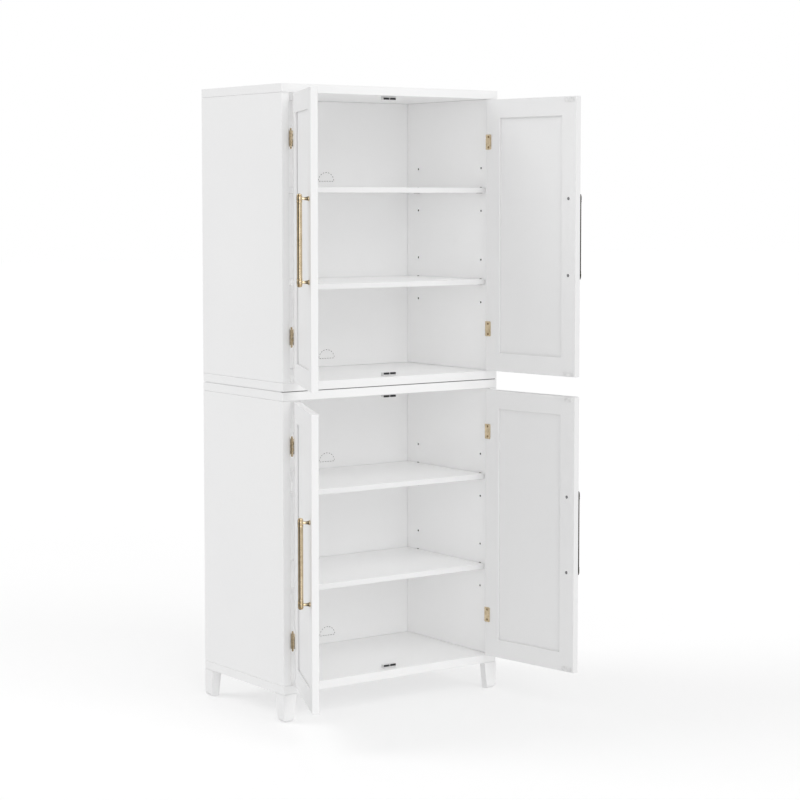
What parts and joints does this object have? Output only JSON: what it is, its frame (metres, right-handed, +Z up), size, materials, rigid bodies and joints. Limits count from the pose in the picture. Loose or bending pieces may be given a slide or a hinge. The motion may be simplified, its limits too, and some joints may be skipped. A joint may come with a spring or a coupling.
{
  "type": "pantry cabinet",
  "caption": "Tall two-box pantry cabinet on corner feet, with pairs of inset framed doors, adjustable shelves, bar pulls and butt hinges, doors standing open.",
  "frame": {"origin": "middle of the open cabinet's footprint box, at floor level", "axes": "+Z up, -Y towards the front (the side the doors open to), +X to the right seen from the front"},
  "size_m": [0.9694, 0.805, 1.829],
  "materials": {
    "white_paint": "white satin lacquer on fibreboard",
    "white_shelf": "white satin laminate",
    "brass": "warm satin brass, lightly aged",
    "catch_plastic": "black moulded magnetic catch",
    "pad_rubber": "pale non-slip strip"
  },
  "bodies": {
    "cabinet": {"foot_back_left": "white_paint", "foot_back_right": "white_paint", "foot_front_left": "white_paint", "foot_front_right": "white_paint", "lower_back_panel": "white_paint", "lower_bottom_panel": "white_paint", "lower_catch_bottom": "catch_plastic", "lower_catch_top": "catch_plastic", "lower_left_hinge_bottom_cabinet_leaf": "brass", "lower_left_hinge_bottom_pin": "brass", "lower_left_hinge_top_cabinet_leaf": "brass", "lower_left_hinge_top_pin": "brass", "lower_left_side_panel": "white_paint", "lower_right_hinge_bottom_cabinet_leaf": "brass", "lower_right_hinge_bottom_pin": "brass", "lower_right_hinge_top_cabinet_leaf": "brass", "lower_right_hinge_top_pin": "brass", "lower_right_side_panel": "white_paint", "lower_top_panel": "white_paint", "stacking_pad_left": "pad_rubber", "stacking_pad_right": "pad_rubber", "upper_back_panel": "white_paint", "upper_bottom_panel": "white_paint", "upper_catch_bottom": "catch_plastic", "upper_catch_top": "catch_plastic", "upper_left_hinge_bottom_cabinet_leaf": "brass", "upper_left_hinge_bottom_pin": "brass", "upper_left_hinge_top_cabinet_leaf": "brass", "upper_left_hinge_top_pin": "brass", "upper_left_side_panel": "white_paint", "upper_right_hinge_bottom_cabinet_leaf": "brass", "upper_right_hinge_bottom_pin": "brass", "upper_right_hinge_top_cabinet_leaf": "brass", "upper_right_hinge_top_pin": "brass", "upper_right_side_panel": "white_paint", "upper_top_panel": "white_paint"},
    "lower_left_door": {"lower_left_door_frame": "white_paint", "lower_left_door_panel": "white_paint", "lower_left_hinge_bottom_door_leaf": "brass", "lower_left_hinge_top_door_leaf": "brass", "lower_left_pull": "brass"},
    "lower_right_door": {"lower_right_door_frame": "white_paint", "lower_right_door_panel": "white_paint", "lower_right_hinge_bottom_door_leaf": "brass", "lower_right_hinge_top_door_leaf": "brass", "lower_right_pull": "brass"},
    "lower_shelf_high": {"lower_shelf_high": "white_shelf"},
    "lower_shelf_low": {"lower_shelf_low": "white_shelf"},
    "upper_left_door": {"upper_left_door_frame": "white_paint", "upper_left_door_panel": "white_paint", "upper_left_hinge_bottom_door_leaf": "brass", "upper_left_hinge_top_door_leaf": "brass", "upper_left_pull": "brass"},
    "upper_right_door": {"upper_right_door_frame": "white_paint", "upper_right_door_panel": "white_paint", "upper_right_hinge_bottom_door_leaf": "brass", "upper_right_hinge_top_door_leaf": "brass", "upper_right_pull": "brass"},
    "upper_shelf_high": {"upper_shelf_high": "white_shelf"},
    "upper_shelf_low": {"upper_shelf_low": "white_shelf"}
  },
  "joints": [
    {"name": "lower_left_door_hinge", "type": "hinge", "parent": "cabinet", "child": "lower_left_door", "pos_m": [-0.31478, -0.0431, 0.51825], "axis": [0, 0, 1], "range_deg": [-64.4, 115.6]},
    {"name": "lower_right_door_hinge", "type": "hinge", "parent": "cabinet", "child": "lower_right_door", "pos_m": [0.40762, -0.0431, 0.51825], "axis": [0, 0, 1], "range_deg": [-98.4, 81.6]},
    {"name": "lower_shelf_low_lift", "type": "slide", "parent": "cabinet", "child": "lower_shelf_low", "axis": [0, 0, 1], "range_m": [0, 0.065]},
    {"name": "lower_shelf_high_lift", "type": "slide", "parent": "cabinet", "child": "lower_shelf_high", "axis": [0, 0, 1], "range_m": [0, 0.065]},
    {"name": "upper_left_door_hinge", "type": "hinge", "parent": "cabinet", "child": "upper_left_door", "pos_m": [-0.31478, -0.0431, 1.39275], "axis": [0, 0, 1], "range_deg": [-64.4, 115.6]},
    {"name": "upper_right_door_hinge", "type": "hinge", "parent": "cabinet", "child": "upper_right_door", "pos_m": [0.40762, -0.0431, 1.39275], "axis": [0, 0, 1], "range_deg": [-98.4, 81.6]},
    {"name": "upper_shelf_low_lift", "type": "slide", "parent": "cabinet", "child": "upper_shelf_low", "axis": [0, 0, 1], "range_m": [0, 0.065]},
    {"name": "upper_shelf_high_lift", "type": "slide", "parent": "cabinet", "child": "upper_shelf_high", "axis": [0, 0, 1], "range_m": [0, 0.065]}
  ]
}
